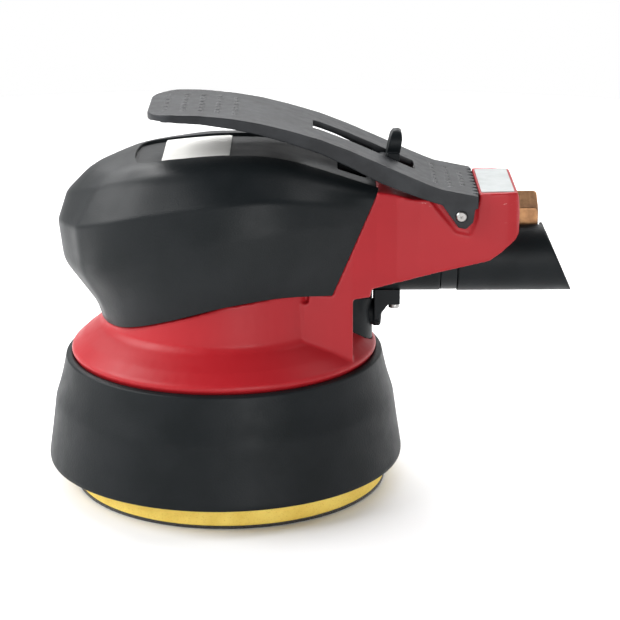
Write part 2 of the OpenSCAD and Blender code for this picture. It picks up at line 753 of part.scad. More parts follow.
module duct_bracket() {
  color(black_plastic) difference() {
    union() {
      translate([59.8, -11.5, bracket_z0]) cube([10.2, 20, 6.2]);
      for (y = [-10.5, 7.5])
        side_prism([[59.8, 67.4], [61, 67.4], [62.8, 70], [65.4, 73.6], [59.8, 73.6]], 2, y);
    }
    rod_x(duct_r - 0.2, 58, 72, nozzle_y, duct_z);
    translate([62, -9.2, bracket_z0 + 1.3]) cube([9, 15, 1.1]);
    for (y = screw_y) translate([screw_x, y, 70]) cylinder(r = 1.4, h = 12);
  }
}

module bracket_screws() {
  color(steel) for (y = screw_y) translate([screw_x, y, 0]) difference() {
    union() {
      disc(2.2, bracket_z0 - 1.6, bracket_z0);
      disc(1.4, bracket_z0 - 0.1, 80.3);
    }
    translate([0, 0, bracket_z0 - 2]) cylinder(r = 1.3, h = 1.4, $fn = 6);
  }
}

module regulator_bushing() {
  color(brass) difference() {
    rod_x(5.5, 52, 57.4, 0, dial_z);
    rod_x(3.4 + clear, 50, 61, 0, dial_z);
  }
}

module speed_regulator() {
  color(black_plastic) translate([59.6, 0, dial_z]) rotate([0, 90, 0]) difference() {
    union() {
      rotate_extrude() polygon([[0, -2], [5.3, -2], [5.3, 0], [5.7, 0.4], [5.7, 2.4], [5, 3.1], [0, 3.7]]);
      translate([0, 0, -7.2]) cylinder(r = 3.4, h = 8);
    }
    for (a = [0 : 30 : 330]) rotate([0, 0, a]) translate([5.9, 0, 0.2]) cylinder(r = 0.5, h = 6);
    translate([-4, -0.5, 2.9]) cube([8, 1, 2]);
  }
}

housing();
comfort_grip();
name_plate();
rear_plate();
dust_shroud();
shroud_clamp();
motor_cylinder();
upper_endplate();
lower_endplate();
upper_bearing();
lower_bearing();
dowel_pins();
lock_ring();
barrel_o_ring();
rotor();
rotor_vanes();
shaft_balancer();
spindle_bearings();
bearing_shield();
shaft_circlip();
spindle();
spindle_circlip();
pad_washer();
pad_stud();
pad_plate();
pad_foam();
pad_hook_face();
throttle_lever();
lever_pin();
latch_pin();
safety_latch();
latch_spring();
valve_stem();
valve_o_ring();
valve_seat();
valve_spring();
valve_plug();
inlet_bushing();
inlet_screen();
inlet_o_ring();
riser_duct();
handle_duct();
duct_bracket();
bracket_screws();
duct_sleeve();
exhaust_nozzle();
ejector_tube();
exhaust_muffler();
speed_regulator();
regulator_bushing();
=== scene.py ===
"""Looks of the palm sander: its visible shells are rebuilt here as finished meshes with procedural materials.

Shapes are worked out in millimetres and turned into metres when a mesh is made. +X leads to the handle and
the air inlet, +Z is up, and the pad face lies in the plane Z = 0.
"""
import json
import math

import bmesh
import bpy
import numpy as np
from mathutils import Matrix, Vector
from mathutils.bvhtree import BVHTree


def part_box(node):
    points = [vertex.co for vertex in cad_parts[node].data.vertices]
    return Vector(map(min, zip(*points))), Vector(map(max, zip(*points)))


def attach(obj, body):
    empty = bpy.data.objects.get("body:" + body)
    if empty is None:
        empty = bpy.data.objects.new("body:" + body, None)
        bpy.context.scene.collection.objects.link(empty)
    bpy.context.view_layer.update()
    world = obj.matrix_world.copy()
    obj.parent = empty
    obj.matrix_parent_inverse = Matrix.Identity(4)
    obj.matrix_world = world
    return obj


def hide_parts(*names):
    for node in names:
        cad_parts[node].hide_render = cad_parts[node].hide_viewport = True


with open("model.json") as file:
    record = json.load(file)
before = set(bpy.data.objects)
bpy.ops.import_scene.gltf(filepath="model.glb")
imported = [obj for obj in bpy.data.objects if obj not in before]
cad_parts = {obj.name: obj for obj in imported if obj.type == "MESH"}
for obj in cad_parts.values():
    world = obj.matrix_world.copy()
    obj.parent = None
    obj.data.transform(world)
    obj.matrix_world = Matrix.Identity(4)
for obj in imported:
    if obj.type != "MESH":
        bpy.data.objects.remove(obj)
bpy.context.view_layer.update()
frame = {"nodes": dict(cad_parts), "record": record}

MM = 0.001
# Points of a mesh that lie closer than this, in metres, are one point
WELD = 0.002 * MM
RECORD_SLOT = {part["node"]: part["material_slot"] for part in frame["record"]["subparts"]}
BODY_OF = {node: body for body, nodes in frame["record"]["behaviour"]["bodies"].items() for node in nodes}


def low_high(node):
    """The lowest and highest corner of a CAD node, in millimetres."""
    low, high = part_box(node)
    return low / MM, high / MM


# ---------------------------------------------------------------- camera, floor and light

# Where the camera stands, how far it looks down and how far it is turned about its own axis
CAMERA_PLACE = (0.0345, -0.8423, 0.3226)
CAMERA_PITCH = math.radians(16.82)
CAMERA_ROLL = math.radians(-0.32)
CAMERA_LENS = 127.7
CAMERA_SENSOR = 36
FLOOR_RADIUS = 0.8
# The surround's colour by height on the sky sphere: white at the horizon and below it, dark overhead
SKY = [(0.02, (1, 1, 1, 1)), (0.3, (0.42, 0.425, 0.43, 1)), (0.75, (0.10, 0.10, 0.105, 1))]


def add_camera():
    """A long lens in front of the tool and a little above it."""
    bpy.context.scene.view_settings.view_transform = "Standard"
    data = bpy.data.cameras.new("camera")
    data.sensor_width = CAMERA_SENSOR
    data.lens = CAMERA_LENS
    camera = bpy.data.objects.new("camera", data)
    camera.location = CAMERA_PLACE
    tilt = Matrix.Rotation(math.pi / 2 - CAMERA_PITCH, 3, "X")
    camera.rotation_euler = (tilt @ Matrix.Rotation(CAMERA_ROLL, 3, "Z")).to_euler()
    bpy.context.scene.collection.objects.link(camera)
    bpy.context.scene.camera = camera


def add_softbox(name, place, aim, size, power):
    """A rectangular area light at place that points at aim."""
    data = bpy.data.lights.new(name, "AREA")
    data.shape = "RECTANGLE"
    data.size, data.size_y = size
    data.energy = power
    light = bpy.data.objects.new(name, data)
    light.location = place
    light.rotation_euler = (Vector(aim) - Vector(place)).to_track_quat("-Z", "Y").to_euler()
    bpy.context.scene.collection.objects.link(light)


def add_world():
    """A surround that is darker overhead, so that the upper facets keep their depth."""
    world = bpy.data.worlds.new("studio")
    bpy.context.scene.world = world
    world.use_nodes = True
    nodes, links = world.node_tree.nodes, world.node_tree.links
    direction = nodes.new("ShaderNodeTexCoord").outputs["Generated"]
    height = nodes.new("ShaderNodeSeparateXYZ")
    links.new(direction, height.inputs[0])
    ramp = nodes.new("ShaderNodeValToRGB")
    stops = ramp.color_ramp.elements
    low, middle, high = SKY
    stops[0].position, stops[0].color = low
    stops[1].position, stops[1].color = high
    stops.new(middle[0]).color = middle[1]
    links.new(height.outputs["Z"], ramp.inputs[0])
    links.new(ramp.outputs[0], nodes["Background"].inputs["Color"])
    nodes["Background"].inputs["Strength"].default_value = 1.0


def add_floor(material):
    bm = bmesh.new()
    bmesh.ops.create_circle(bm, cap_ends=True, segments=96, radius=FLOOR_RADIUS)
    floor = mesh_object("floor", bm, material)


# ---------------------------------------------------------------- materials

class Shader:
    """A Principled material whose detail is made by nodes in the piece's own coordinates, in metres."""

    def __init__(self, name, color, rough, metal=0.0, **constants):
        self.material = bpy.data.materials.new(name)
        self.material.use_nodes = True
        self.nodes = self.material.node_tree.nodes
        self.links = self.material.node_tree.links
        self.surface = self.nodes["Principled BSDF"]
        self.surface.inputs["Base Color"].default_value = (*color, 1)
        self.surface.inputs["Roughness"].default_value = rough
        self.surface.inputs["Metallic"].default_value = metal
        for socket, value in constants.items():
            self.surface.inputs[socket.replace("_", " ")].default_value = value
        self.place = self.nodes.new("ShaderNodeTexCoord").outputs["Object"]
        self.normal = None

    def stretched(self, factors):
        """The piece's coordinates, scaled along each axis."""
        mapping = self.nodes.new("ShaderNodeMapping")
        mapping.inputs["Scale"].default_value = factors
        self.links.new(self.place, mapping.inputs["Vector"])
        return mapping.outputs[0]

    def noise(self, size_mm, detail=2.0, roughness=0.5, stretch=None):
        """Noise whose grains are about size_mm across."""
        node = self.nodes.new("ShaderNodeTexNoise")
        node.inputs["Scale"].default_value = 1 / (size_mm * MM)
        node.inputs["Detail"].default_value = detail
        node.inputs["Roughness"].default_value = roughness
        self.links.new(self.stretched(stretch) if stretch else self.place, node.inputs["Vector"])
        return node.outputs[0]

    def cells(self, size_mm, randomness=1.0):
        """Distance from the middle of the nearest of many cells about size_mm across."""
        node = self.nodes.new("ShaderNodeTexVoronoi")
        node.inputs["Scale"].default_value = 1 / (size_mm * MM)
        node.inputs["Randomness"].default_value = randomness
        self.links.new(self.place, node.inputs["Vector"])
        return node.outputs["Distance"]

    def axis(self, name):
        """One coordinate of the surface point, in metres."""
        split = self.nodes.new("ShaderNodeSeparateXYZ")
        self.links.new(self.place, split.inputs[0])
        return split.outputs[name]

    def remap(self, value, low, high, to_low=0.0, to_high=1.0):
        node = self.nodes.new("ShaderNodeMapRange")
        for socket, number in zip(("From Min", "From Max", "To Min", "To Max"), (low, high, to_low, to_high)):
            node.inputs[socket].default_value = number
        self.links.new(value, node.inputs["Value"])
        return node.outputs[0]

    def combine(self, operation, a, b):
        node = self.nodes.new("ShaderNodeMath")
        node.operation = operation
        for socket, value in zip(node.inputs, (a, b)):
            if isinstance(value, (int, float)):
                socket.default_value = value
            else:
                self.links.new(value, socket)
        return node.outputs[0]

    def blend(self, factor, first, second):
        """A colour between two, each an RGB triple or a socket."""
        node = self.nodes.new("ShaderNodeMix")
        node.data_type = "RGBA"
        self.links.new(factor, node.inputs["Factor"])
        sockets = [s for s in node.inputs if s.type == "RGBA"]
        for socket, value in zip(sockets, (first, second)):
            if isinstance(value, tuple):
                socket.default_value = (*value, 1)
            else:
                self.links.new(value, socket)
        return next(s for s in node.outputs if s.type == "RGBA")

    def paint(self, color):
        self.links.new(color, self.surface.inputs["Base Color"])

    def roughen(self, value, low, high):
        self.links.new(self.remap(value, 0.3, 0.7, low, high), self.surface.inputs["Roughness"])

    def bump(self, height, depth_mm):
        """Adds relief of about depth_mm on top of any relief added before."""
        node = self.nodes.new("ShaderNodeBump")
        node.inputs["Distance"].default_value = depth_mm * MM
        node.inputs["Strength"].default_value = 1.0
        self.links.new(height, node.inputs["Height"])
        if self.normal:
            self.links.new(self.normal, node.inputs["Normal"])
        self.normal = node.outputs[0]
        self.links.new(self.normal, self.surface.inputs["Normal"])


# The middle, darkest and lightest tone of the tool's black mouldings
BLACK = (0.006, 0.008, 0.009)
BLACK_LOW, BLACK_HIGH = (0.005, 0.007, 0.008), (0.008, 0.010, 0.0115)


def floor_paint():
    """Pale matt paint."""
    look = Shader("floor_paint", (0.95, 0.95, 0.95), 0.7, Specular_IOR_Level=0.2)
    look.paint(look.blend(look.noise(40, 3), (0.94, 0.94, 0.94), (0.96, 0.96, 0.96)))
    look.bump(look.noise(3), 0.01)
    return look.material


def grip_rubber():
    """Satin black rubber with a fine spark-eroded grain."""
    look = Shader("grip_rubber", BLACK, 0.42, Specular_IOR_Level=0.2)
    look.paint(look.blend(look.remap(look.noise(22, 3), 0.35, 0.65), BLACK_LOW, BLACK_HIGH))
    look.roughen(look.noise(9, 4), 0.38, 0.46)
    look.bump(look.noise(1.1, 2, 0.6), 0.035)
    look.bump(look.cells(0.55), 0.024)
    return look.material


def red_housing():
    """Satin moulded red plastic with faint flow marks and a few pale scuffs high on the handle."""
    look = Shader("red_housing", (0.36, 0.011, 0.016), 0.42, Specular_IOR_Level=0.25)
    flow = look.remap(look.noise(30, 3, 0.5, (0.4, 1, 1)), 0.3, 0.7)
    base = look.blend(flow, (0.335, 0.010, 0.015), (0.375, 0.012, 0.018))
    scuff = look.remap(look.noise(2.2, 4, 0.7, (0.35, 1, 1.6)), 0.66, 0.72)
    high = look.combine("MULTIPLY", look.remap(look.axis("Z"), 0.108, 0.118),
                        look.remap(look.axis("X"), 0.06, 0.07))
    look.paint(look.blend(look.combine("MULTIPLY", scuff, high), base, (0.72, 0.45, 0.44)))
    look.roughen(look.noise(6, 3), 0.36, 0.46)
    look.bump(look.noise(1.4, 2), 0.012)
    look.bump(look.noise(14, 2), 0.05)
    return look.material


def black_plastic():
    """Black moulded plastic with a fine leathery grain."""
    look = Shader("black_plastic", BLACK, 0.46, Specular_IOR_Level=0.15)
    look.paint(look.blend(look.remap(look.noise(18, 3), 0.35, 0.65), BLACK_LOW, BLACK_HIGH))
    look.roughen(look.noise(7, 3), 0.42, 0.50)
    look.bump(look.cells(0.9), 0.03)
    look.bump(look.noise(0.7, 2), 0.02)
    return look.material


def lever_plastic():
    """Grey-black glass-filled plastic, polished a little by the hand."""
    look = Shader("lever_plastic", (0.020, 0.022, 0.025), 0.42, Specular_IOR_Level=0.25)
    worn = look.remap(look.noise(12, 4, 0.6), 0.4, 0.62)
    look.paint(look.blend(worn, (0.011, 0.012, 0.014), (0.020, 0.022, 0.025)))
    look.roughen(look.noise(5, 4), 0.36, 0.48)
    look.bump(look.noise(0.9, 3, 0.6), 0.03)
    return look.material


def foil(name, light, dark, rough):
    """A printed foil label: even colour, faint mottling, orange-peel film."""
    look = Shader(name, light, rough)
    look.paint(look.blend(look.remap(look.noise(5, 4), 0.35, 0.65), light, dark))
    look.roughen(look.noise(3, 3), rough - 0.05, rough + 0.05)
    look.bump(look.noise(1.2, 2), 0.006)
    return look.material


def machined(name, light, dark, rough, line_axis="X", line_mm=0.35, depth_mm=0.008):
    """Turned or ground metal, with tool lines across line_axis and patches of tarnish."""
    look = Shader(name, light, rough, metal=1.0)
    stretch = tuple(1.0 if axis == line_axis else 0.04 for axis in "XYZ")
    lines = look.noise(line_mm, 2, 0.5, stretch)
    tarnish = look.remap(look.noise(4, 5, 0.6), 0.38, 0.62)
    look.paint(look.blend(tarnish, light, dark))
    look.roughen(lines, rough - 0.07, rough + 0.1)
    look.bump(lines, depth_mm)
    return look.material


def yellow_foam():
    """Closed-cell polyurethane foam with pin-sized pores and darker dusty patches."""
    look = Shader("yellow_foam", (0.82, 0.52, 0.10), 0.75, Subsurface_Weight=0.08, Subsurface_Scale=0.001)
    pores = look.cells(0.75)
    patches = look.remap(look.noise(9, 4, 0.6), 0.35, 0.7)
    base = look.blend(patches, (0.90, 0.67, 0.14), (0.80, 0.55, 0.09))
    # the pits of the pores are painted darker: painted shade inside the pores
    look.paint(look.blend(look.remap(pores, 0.05, 0.28), (0.62, 0.38, 0.06), base))
    look.bump(pores, 0.12)
    look.bump(look.noise(2.5, 3), 0.06)
    return look.material


def hook_fabric():
    """Black hook fabric: rows of tiny loops over a woven ground."""
    look = Shader("hook_fabric", (0.03, 0.03, 0.032), 0.85, Sheen_Weight=0.4, Sheen_Roughness=0.5)
    loops = look.cells(0.8, randomness=0.45)
    # the ground between the loops is painted darker than their raised tops: painted shade between the loops
    look.paint(look.blend(look.remap(loops, 0.1, 0.5), (0.055, 0.052, 0.05), (0.014, 0.014, 0.015)))
    look.bump(look.combine("SUBTRACT", 1.0, loops), 0.25)
    return look.material


def seal_rubber():
    """Black nitrile rubber with a faint bloom."""
    look = Shader("seal_rubber", (0.02, 0.02, 0.02), 0.55)
    look.paint(look.blend(look.noise(3, 3), (0.014, 0.014, 0.015), (0.03, 0.03, 0.03)))
    look.bump(look.noise(0.5, 2), 0.01)
    return look.material


def vane_composite():
    """Laminated phenolic: thin brown layers with pale threads."""
    look = Shader("vane_composite", (0.25, 0.14, 0.06), 0.5)
    layers = look.noise(0.5, 2, 0.5, (0.1, 0.1, 1))
    look.paint(look.blend(look.remap(layers, 0.35, 0.65), (0.20, 0.11, 0.045), (0.34, 0.21, 0.10)))
    look.bump(layers, 0.02)
    return look.material


def felt():
    """Grey pressed felt."""
    look = Shader("felt", (0.33, 0.31, 0.27), 0.9, Sheen_Weight=0.5, Sheen_Roughness=0.6)
    fibres = look.noise(0.6, 6, 0.75)
    look.paint(look.blend(look.remap(fibres, 0.3, 0.7), (0.24, 0.22, 0.19), (0.44, 0.42, 0.37)))
    look.bump(fibres, 0.15)
    return look.material


# One finish for each material slot of the record
LOOKS = {
    "red_housing": red_housing(),
    "grip_rubber": grip_rubber(),
    "black_plastic": black_plastic(),
    "plate_white": foil("plate_white", (0.95, 0.94, 0.90), (0.91, 0.90, 0.86), 0.62),
    "plate_grey": foil("plate_grey", (0.39, 0.41, 0.41), (0.34, 0.36, 0.36), 0.5),
    "steel": machined("steel", (0.38, 0.37, 0.36), (0.28, 0.27, 0.26), 0.32, "Z"),
    "dark_steel": machined("dark_steel", (0.16, 0.16, 0.165), (0.10, 0.10, 0.10), 0.42, "Z"),
    "aluminium": machined("aluminium", (0.78, 0.79, 0.80), (0.66, 0.67, 0.68), 0.32, "Z"),
    "brass": machined("brass", (0.37, 0.20, 0.095), (0.25, 0.13, 0.065), 0.36, "X", 0.4, 0.004),
    "foam_yellow": yellow_foam(),
    "hook_face": hook_fabric(),
    "seal_rubber": seal_rubber(),
    "vane_composite": vane_composite(),
    "felt": felt(),
}
LEVER_LOOK = lever_plastic()

# ---------------------------------------------------------------- mesh helpers

def mesh_object(name, bm, material, smooth=True):
    """An object from a bmesh, which is freed."""
    bmesh.ops.recalc_face_normals(bm, faces=bm.faces)
    mesh = bpy.data.meshes.new(name)
    bm.to_mesh(mesh)
    bm.free()
    mesh.materials.append(material)
    if smooth:
        mesh.shade_smooth()
    made = bpy.data.objects.new(name, mesh)
    bpy.context.scene.collection.objects.link(made)
    return made


def bake_modifiers(made):
    """Turns the object's modifiers into its mesh."""
    graph = bpy.context.evaluated_depsgraph_get()
    graph.update()
    mesh = bpy.data.meshes.new_from_object(made.evaluated_get(graph))
    made.modifiers.clear()
    old, made.data = made.data, mesh
    bpy.data.meshes.remove(old)


def stand_for(made, node, *others):
    """The piece takes the place of CAD nodes on their body; the nodes are hidden."""
    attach(made, BODY_OF[node])
    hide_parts(node, *others)
    return made


def add_to(made, node):
    """The piece is extra detail on a CAD node."""
    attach(made, BODY_OF[node])


def cad_bmesh(node):
    """The CAD node's mesh, welded."""
    bm = bmesh.new()
    bm.from_mesh(frame["nodes"][node].data)
    bmesh.ops.remove_doubles(bm, verts=bm.verts, dist=WELD)
    return bm


def moulded(node, name, voxel_mm, passes, material=None):
    """The CAD node with its edges rounded as a mould leaves them."""
    made = mesh_object(name, cad_bmesh(node), material or LOOKS[RECORD_SLOT[node]])
    remesh = made.modifiers.new("remesh", "REMESH")
    remesh.mode = "VOXEL"
    remesh.voxel_size = voxel_mm * MM
    relax = made.modifiers.new("relax", "SMOOTH")
    relax.factor = 0.5
    relax.iterations = passes
    bake_modifiers(made)
    made.data.shade_smooth()
    return stand_for(made, node)


def lathe(profile, segments=192, closed=True):
    """A bmesh of a profile [(r, z)] in millimetres turned about Z."""
    bm = bmesh.new()
    rings = []
    for r, z in profile:
        if r < 1e-6:
            rings.append([bm.verts.new((0, 0, z * MM))] * segments)
            continue
        rings.append([bm.verts.new((r * MM * math.cos(2 * math.pi * k / segments),
                                    r * MM * math.sin(2 * math.pi * k / segments), z * MM))
                      for k in range(segments)])
    pairs = list(zip(rings, rings[1:] + rings[:1])) if closed else list(zip(rings, rings[1:]))
    for lower, upper in pairs:
        for k in range(segments):
            corner = [lower[k], lower[(k + 1) % segments], upper[(k + 1) % segments], upper[k]]
            unique = list(dict.fromkeys(corner))
            if len(unique) > 2:
                bm.faces.new(unique)
    return bm


# The largest share of an edge that one corner's rounding may take
ARC_SHARE = 0.45


def rounded(points, radii, steps=5, closed=True):
    """A polyline with round corners: each is a quadratic arc that starts radii[i] before the corner."""
    points = [np.array(p, float) for p in points]
    count = len(points)
    out = []
    for i, corner in enumerate(points):
        if not closed and i in (0, count - 1):
            out.append(corner)
            continue
        before, after = points[i - 1], points[(i + 1) % count]
        back, ahead = np.linalg.norm(before - corner), np.linalg.norm(after - corner)
        reach = min(radii[i], ARC_SHARE * back, ARC_SHARE * ahead)
        if reach < 1e-4:
            out.append(corner)
            continue
        start = corner + (before - corner) / back * reach
        end = corner + (after - corner) / ahead * reach
        for t in np.linspace(0, 1, steps):
            out.append((1 - t) ** 2 * start + 2 * t * (1 - t) * corner + t ** 2 * end)
    return out


# ---------------------------------------------------------------- comfort grip

REAR_LOW, REAR_TOP = (42.9, 83.9), (62.0, 126.0)


def rear_x(z):
    """The slanted plane that the grip's rear edge lies in."""
    return REAR_LOW[0] + (REAR_TOP[0] - REAR_LOW[0]) * (z - REAR_LOW[1]) / (REAR_TOP[1] - REAR_LOW[1])


# Each row leads from the middle of the nose round one side to the rear edge, and ends as (y, z) in that plane
GRIP_ROWS = {
    "rim": [(-48.4, 0, 68.1), (-44.4, 20, 69.3), (-35.6, 33.8, 71.5), (-19.8, 44.2, 76.9), (2, 49, 83.6),
            (23.5, 43.2, 85.6), (34.9, 84.1)],
    "low": [(-50.3, 0, 73.6), (-47, 20.4, 77.6), (-36.8, 35, 84.6), (-21.5, 45.8, 90), (2, 50.7, 95.6),
            (25, 46.2, 97.2), (32.8, 97.2)],
    "mid": [(-62.9, 0, 90.5), (-54.2, 22.8, 90.9), (-44.5, 34.8, 96), (-24, 44.9, 103), (0, 50.7, 109.4),
            (26, 47, 112.6), (30.2, 110.8)],
    "rib": [(-64.7, 0, 106.5), (-55.6, 24, 108.6), (-41.5, 36.5, 114.1), (-24, 43.6, 118.6), (2, 48.2, 123.3),
            (26, 44.6, 123.7), (29, 116.4)],
    "brow": [(-60.9, 0, 117.8), (-46.8, 24, 123.8), (-33.4, 31.4, 128), (-19, 35.8, 131.2), (-1.6, 38, 132.9),
             (23, 36.4, 131.4), (28.3, 120.6)],
    "cap": [(-49.5, 0, 129.6), (-40.5, 16.5, 130.6), (-31, 24, 132.2), (-17.5, 27.6, 133.9), (0, 29.2, 135.3),
            (24, 28.6, 133.6), (26, 122.6)],
    "edge": [(-33, 0, 133.2), (-32.4, 11, 133.1), (-29.6, 18.8, 133.2), (-17, 20.4, 134.8), (4, 20.6, 136.2),
             (26, 20.8, 134.4), (22.4, 123.8)],
}
# The floor of the band lies this deep under the edge row and is this much narrower
BAND_DEPTH, BAND_WIDTH = 1.4, 0.96
GRIP_WALL = 3.6
# How sharply each row turns where the nose facet meets the side, from 0, a smooth bend, to 1, a corner
NOSE_CORNER = {"rim": 0.3, "low": 0.75, "mid": 0.8, "rib": 0.9, "brow": 0.7, "cap": 0.1, "edge": 0.0,
               "floor": 0.0}
# Rounding of the crease along each row, in mm, at the nose and at the rear
CREASE = {"rim": (0.9, 0.9), "low": (1.8, 9), "mid": (3.5, 1.6), "rib": (1.3, 1.8), "brow": (1.6, 6),
          "cap": (9, 9), "edge": (0.6, 0.6), "floor": (0.5, 0.5)}
# How far the inner face of each row goes in and down, in wall thicknesses
INSET = {"rim": (0.28, 0), "low": (0.8, 0), "mid": (1, 0), "rib": (1, 0.2), "brow": (0.7, 0.7),
         "cap": (0.2, 1), "edge": (0, 1.2), "floor": (0, 0.7)}
STEPS = 16
# Points across the floor of the band
BAND_POINTS = 13
# The slot at the rear of the band
SLOT_X0, SLOT_X1, SLOT_HALF_W, SLOT_CORNER = 45.5, 57, 7, 1.6
SLOT_Z0, SLOT_CUT = 112, 30


def grip_row(name):
    """Points along a row from the nose to the rear, STEPS to a station."""
    if name == "floor":
        return grip_row("edge") * (1, BAND_WIDTH, 1) - (0, 0, BAND_DEPTH)
    *front, (y, z) = GRIP_ROWS[name]
    stations = np.array(front + [(rear_x(z), y, z)], float)
    before = np.vstack([stations[1] * (1, -1, 1), stations[:-1]])
    after = np.vstack([stations[1:], 2 * stations[-1] - stations[-2]])
    arriving = (after - before) / 2
    leaving = arriving.copy()
    corner = NOSE_CORNER[name]
    arriving[1] += corner * (stations[1] - stations[0] - arriving[1])
    leaving[1] += corner * (stations[2] - stations[1] - leaving[1])
    points = []
    for i in range(len(stations) - 1):
        for u in np.arange(STEPS) / STEPS:
            points.append((1 + 2 * u) * (1 - u) ** 2 * stations[i] + u * (1 - u) ** 2 * leaving[i]
                          + u * u * (3 - 2 * u) * stations[i + 1] + u * u * (u - 1) * arriving[i + 1])
    points = np.array(points + [stations[-1]])
    for _ in range(3):  # takes the knife edge off the nose corner
        near = slice(STEPS - 3, STEPS + 4)
        points[near] = (points[STEPS - 4:STEPS + 3] + 2 * points[near] + points[STEPS - 2:STEPS + 5]) / 4
    return points


def inward(points, name):
    """A row of the inner face."""
    toward = points[:, :2] * (-0.4, -1)
    toward /= np.maximum(np.linalg.norm(toward, axis=1, keepdims=True), 1e-9)
    side, down = (GRIP_WALL * part for part in INSET[name])
    moved = points.copy()
    moved[:, :2] += toward * side
    moved[:, 2] -= down
    moved[-1, 0] = rear_x(moved[-1, 2])
    return moved


def grip_sections(inner):
    """The rounded cross-sections of one face of the shell, from rear to rear round the nose."""
    names = list(GRIP_ROWS) + ["floor"]
    outer_rows = {name: grip_row(name) for name in names}
    rows = {name: inward(outer_rows[name], name) if inner else outer_rows[name] for name in names}
    lip = (outer_rows["rim"] + inward(outer_rows["rim"], "rim")) / 2
    half = []
    for i in range(len(lip)):
        along = i / (len(lip) - 1)
        radii = [0] + [CREASE[name][0] + (CREASE[name][1] - CREASE[name][0]) * along for name in names]
        section = rounded([lip[i]] + [rows[name][i] for name in names], radii + [0], closed=False)
        half.append(np.array(section))
    half[-1][:, 0] = rear_x(half[-1][:, 2])
    return [s * (1, -1, 1) for s in half[:0:-1]] + half


def grip_slot():
    """The cutter of the slot."""
    corners = [(SLOT_X0, -SLOT_HALF_W), (SLOT_X1, -SLOT_HALF_W),
               (SLOT_X1, SLOT_HALF_W), (SLOT_X0, SLOT_HALF_W)]
    outline = rounded(corners, [SLOT_CORNER] * 4)
    bm = bmesh.new()
    base = bm.faces.new([bm.verts.new((x * MM, y * MM, SLOT_Z0 * MM)) for x, y in outline])
    top = bmesh.ops.extrude_face_region(bm, geom=[base])["geom"]
    raised = [v for v in top if isinstance(v, bmesh.types.BMVert)]
    bmesh.ops.translate(bm, verts=raised, vec=(0, 0, SLOT_CUT * MM))
    return mesh_object("slot_cutter", bm, LOOKS["grip_rubber"])


def build_grip():
    """The faceted rubber shell over the head, closed between its outer and inner face."""
    bm = bmesh.new()

    def sheet(grid):
        made = [[bm.verts.new(Vector(p) * MM) for p in line] for line in grid]
        for one, two in zip(made, made[1:]):
            for a, b, c, d in zip(one, one[1:], two[1:], two):
                bm.faces.new((a, b, c, d))

    across = np.linspace(0, 1, BAND_POINTS)[:, None]
    loops = []
    for inner in (False, True):
        sections = grip_sections(inner)
        sheet(sections)
        half = len(sections) // 2
        crown = [(1 - across) * left[-1] + across * right[-1]
                 for left, right in zip(sections[:half + 1], sections[::-1])]
        sheet(crown)
        loops.append(list(sections[0]) + list(crown[0][1:-1]) + list(sections[-1][::-1]))
    sheet(loops)
    bmesh.ops.remove_doubles(bm, verts=bm.verts, dist=WELD)
    bmesh.ops.dissolve_degenerate(bm, edges=bm.edges, dist=WELD)
    grip = mesh_object("grip_shell", bm, LOOKS["grip_rubber"])
    cutter = grip_slot()
    cut = grip.modifiers.new("slot", "BOOLEAN")
    cut.operation = "DIFFERENCE"
    cut.object = cutter
    bake_modifiers(grip)
    bpy.data.objects.remove(cutter)
    grip.data.shade_smooth()
    grip.data.set_sharp_from_angle(angle=math.radians(42))
    return stand_for(grip, "comfort_grip")


# ---------------------------------------------------------------- labels

# A height, in mm, that is above every piece
ABOVE_ALL = 300
# How far inside the edge of the CAD plate a label ends, and how far inside it the height is read, in mm
LABEL_GAP, LABEL_READ = 0.02, 0.05


def ray_down(node):
    """A function giving the height and normal of the node's top surface at x, y, all in mm."""
    bm = cad_bmesh(node)
    tree = BVHTree.FromBMesh(bm)
    bm.free()

    def top(x, y):
        hit, normal, _, _ = tree.ray_cast(Vector((x, y, ABOVE_ALL)) * MM, Vector((0, 0, -1)))
        return hit.z / MM, normal
    return top


def build_label(node, name, corner, thickness, dome):
    """A foil plate with round corners that lies where the CAD plate does, a little crowned."""
    top = ray_down(node)
    low, high = low_high(node)
    middle = (low + high) / 2
    half_x, half_y = (high.x - low.x) / 2 - LABEL_GAP, (high.y - low.y) / 2 - LABEL_GAP
    ends = corner * (1 - np.cos(np.linspace(0, math.pi / 2, 7)))
    along = np.concatenate([-half_x + ends, np.linspace(-half_x + corner, half_x - corner, 22)[1:-1],
                            half_x - ends[::-1]])
    bm = bmesh.new()
    upper = []
    # the edges fall off steeply, by a high power of the distance from the middle
    for x in along:
        past = max(0.0, abs(x) - (half_x - corner))
        reach = half_y - corner + math.sqrt(max(corner ** 2 - past ** 2, 0))
        inside = min(max(middle.x + x, low.x + LABEL_READ), high.x - LABEL_READ)
        height = top(inside, middle.y)[0]
        row = []
        for part in np.linspace(-1, 1, 19):
            edge = max(abs(part) ** 8, (abs(x) / half_x) ** 16)
            point = Vector((middle.x + x, middle.y + part * reach, height - dome * edge))
            row.append(bm.verts.new(point * MM))
        upper.append(row)
    for one, two in zip(upper, upper[1:]):
        for a, b, c, d in zip(one, one[1:], two[1:], two):
            bm.faces.new((a, b, c, d))
    plate = mesh_object(name, bm, LOOKS[RECORD_SLOT[node]])
    solid = plate.modifiers.new("solid", "SOLIDIFY")
    solid.thickness = thickness * MM
    solid.offset = -1 if plate.data.polygons[0].normal.z > 0 else 1
    bake_modifiers(plate)
    plate.data.shade_smooth()
    plate.data.set_sharp_from_angle(angle=math.radians(40))
    return stand_for(plate, node)


# ---------------------------------------------------------------- shroud and pad

